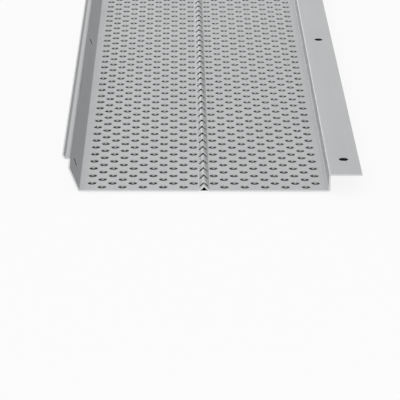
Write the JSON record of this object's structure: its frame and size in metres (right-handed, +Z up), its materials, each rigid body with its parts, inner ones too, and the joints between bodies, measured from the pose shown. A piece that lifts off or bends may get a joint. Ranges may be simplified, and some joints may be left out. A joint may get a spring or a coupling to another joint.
{
  "type": "gutter guard",
  "caption": "Perforated aluminium gutter guard strip with a centre ridge, a raised back edge and a screw-down front flange over the gutter lip.",
  "frame": {"origin": "under the middle of the whole strip, on the plane of the flat panel's underside", "axes": "+X across the strip from the roof side to the gutter's front lip, +Y along the strip, +Z up"},
  "size_m": [0.131, 0.9144, 0.0173],
  "materials": {
    "aluminium_sheet": "mill finish, matte"
  },
  "bodies": {
    "root": {"guard_panel": "aluminium_sheet"}
  },
  "joints": []
}
